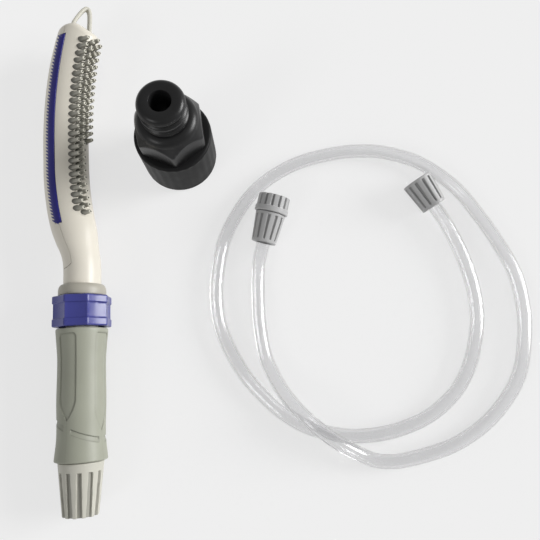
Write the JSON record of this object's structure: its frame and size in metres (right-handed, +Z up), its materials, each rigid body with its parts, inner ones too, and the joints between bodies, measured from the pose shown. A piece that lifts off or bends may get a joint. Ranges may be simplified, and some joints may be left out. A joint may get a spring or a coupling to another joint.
{
  "type": "handheld bath sprayer",
  "caption": "Pet bath wand with a soft nub spray pad, side combs, twist flow collar and ribbed inlet nut, laid out with its clear supply hose and a tap adapter.",
  "frame": {"origin": "on the floor, under the middle of the box round the wand and the adapter, without the hose and its connectors", "axes": "+Y along the wand from the inlet towards the tip, +Z up from the floor, +X from the wand towards the hose"},
  "size_m": [0.3449, 0.3634, 0.088],
  "materials": {
    "cream_shell": "satin moulded ABS",
    "cream_loop": "soft satin moulded loop",
    "sage_grip": "soft matt grip rubber",
    "stone_ring": "satin",
    "navy_comb": "semi-gloss",
    "blue_collar": "semi-gloss",
    "grey_nubs": "matt silicone",
    "beige_nut": "satin",
    "grey_nut": "satin",
    "clear_hose": "clear glossy vinyl",
    "black_adapter": "satin black",
    "seal_rubber": "matt",
    "inner_plastic": "plain moulded"
  },
  "bodies": {
    "wand": {"grip_core": "sage_grip", "grip_sleeve": "sage_grip", "valve_barrel": "inner_plastic", "valve_seal_lower": "seal_rubber", "valve_seal_upper": "seal_rubber", "neck_ring": "stone_ring", "head_shell_front": "cream_shell", "head_shell_rear": "cream_shell", "water_channel": "inner_plastic", "nub_pad": "grey_nubs", "comb_left": "navy_comb", "comb_right": "navy_comb", "hanging_loop": "cream_loop", "inlet_tailpiece": "stone_ring", "inlet_clamp_ring": "inner_plastic", "filter_screen": "stone_ring", "hose": "clear_hose", "tap_end_clamp_ring": "inner_plastic", "tap_end_tailpiece": "inner_plastic", "tap_end_washer": "seal_rubber", "wand_end_clamp_ring": "inner_plastic", "wand_end_tailpiece": "inner_plastic", "wand_end_washer": "seal_rubber", "adapter_body": "black_adapter", "adapter_washer": "seal_rubber"},
    "collar": {"flow_collar": "blue_collar", "valve_rotor": "inner_plastic"},
    "inlet_clamp": {"inlet_nut": "beige_nut"},
    "tap_clamp": {"tap_end_nut": "grey_nut"},
    "tap_swivel": {"tap_end_ring": "grey_nut"},
    "wand_clamp": {"wand_end_nut": "grey_nut"},
    "adapter_swivel": {"adapter_ring": "black_adapter"}
  },
  "joints": [
    {"name": "collar_turn", "type": "hinge", "parent": "wand", "child": "collar", "pos_m": [-0.02656, -0.05067, 0.01992], "axis": [-0.0462, 0.9985, 0.0291], "range_deg": [0, 90]},
    {"name": "inlet_nut_turn", "type": "hinge", "parent": "wand", "child": "inlet_clamp", "pos_m": [-0.02129, -0.16451, 0.0166], "axis": [-0.0462, 0.9985, 0.0291], "continuous": true},
    {"name": "tap_nut_turn", "type": "hinge", "parent": "wand", "child": "tap_clamp", "pos_m": [0.0978, 0.00961, 0.01041], "axis": [0.2362, 0.9614, 0.1409], "continuous": true},
    {"name": "tap_swivel_turn", "type": "hinge", "parent": "wand", "child": "tap_swivel", "pos_m": [0.10151, 0.0247, 0.01262], "axis": [0.2362, 0.9614, 0.1409], "continuous": true},
    {"name": "wand_nut_turn", "type": "hinge", "parent": "wand", "child": "wand_clamp", "pos_m": [0.21145, 0.03564, 0.01005], "axis": [-0.5468, 0.8325, 0.0893], "continuous": true},
    {"name": "adapter_swivel_turn", "type": "hinge", "parent": "wand", "child": "adapter_swivel", "pos_m": [0.03338, 0.06762, 0.019], "axis": [0, 0, 1], "continuous": true}
  ]
}
